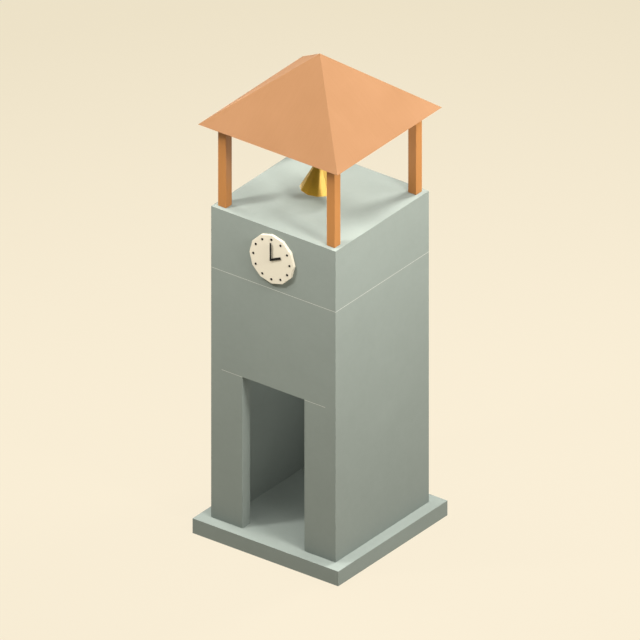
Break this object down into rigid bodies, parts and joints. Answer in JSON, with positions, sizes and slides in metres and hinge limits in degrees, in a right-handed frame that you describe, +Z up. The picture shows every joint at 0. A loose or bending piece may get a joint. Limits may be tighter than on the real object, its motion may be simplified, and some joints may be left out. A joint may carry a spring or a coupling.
{
  "type": "clock tower",
  "caption": "Square rendered clock tower with an open doorway, a faceted dial with turning hands and an open timber belfry with a swinging bell under a hipped roof.",
  "frame": {"origin": "centre of the underside of the plinth", "axes": "+Z up; the doorway and the dial face -Y; +X to the right as seen from in front"},
  "size_m": [2.81, 2.81, 8.324],
  "materials": {
    "wall_render": "matt",
    "plinth_concrete": "matt",
    "deck_concrete": "matt",
    "dial_enamel": "satin",
    "clock_black": "satin",
    "post_timber": "oiled",
    "frame_timber": "oiled",
    "roof_boarding": "matt paint",
    "bell_bronze": "satin",
    "bell_iron": "matt"
  },
  "bodies": {
    "tower": {"plinth": "plinth_concrete", "left_wall": "wall_render", "right_wall": "wall_render", "back_wall": "wall_render", "front_pier_left": "wall_render", "front_pier_right": "wall_render", "front_wall_over_door": "wall_render", "clock_room_floor": "wall_render", "storey_wall_front": "wall_render", "storey_wall_back": "wall_render", "storey_wall_left": "wall_render", "storey_wall_right": "wall_render", "belfry_deck": "deck_concrete", "clock_dial": "dial_enamel", "hour_markers": "clock_black", "hand_spindle": "clock_black", "spindle_cap": "clock_black", "post_front_left": "post_timber", "post_front_right": "post_timber", "post_back_left": "post_timber", "post_back_right": "post_timber", "eaves_plate_front": "frame_timber", "eaves_plate_right": "frame_timber", "eaves_plate_back": "frame_timber", "eaves_plate_left": "frame_timber", "hip_rafter_front_left": "frame_timber", "hip_rafter_front_right": "frame_timber", "hip_rafter_back_right": "frame_timber", "hip_rafter_back_left": "frame_timber", "roof_boss": "frame_timber", "roof_panel_front": "roof_boarding", "roof_panel_right": "roof_boarding", "roof_panel_back": "roof_boarding", "roof_panel_left": "roof_boarding", "bell_beam": "frame_timber", "bell_hangers": "bell_iron"},
    "minute_hand": {"minute_hand": "clock_black"},
    "hour_hand": {"hour_hand": "clock_black"},
    "bell": {"bell": "bell_bronze", "clapper": "bell_iron", "bell_headstock": "frame_timber", "bell_gudgeons": "bell_iron"}
  },
  "joints": [
    {"name": "minute_hand_turn", "type": "hinge", "parent": "tower", "child": "minute_hand", "pos_m": [0, -1.25, 5.24], "axis": [0, 1, 0], "continuous": true},
    {"name": "hour_hand_turn", "type": "hinge", "parent": "tower", "child": "hour_hand", "pos_m": [0, -1.25, 5.24], "axis": [0, 1, 0], "continuous": true},
    {"name": "bell_swing", "type": "hinge", "parent": "tower", "child": "bell", "pos_m": [0, 0, 6.477], "axis": [1, 0, 0], "range_deg": [-35, 35]}
  ],
  "couplings": [
    {"joint": "hour_hand_turn", "follows": "minute_hand_turn", "ratio": 0.083333}
  ]
}
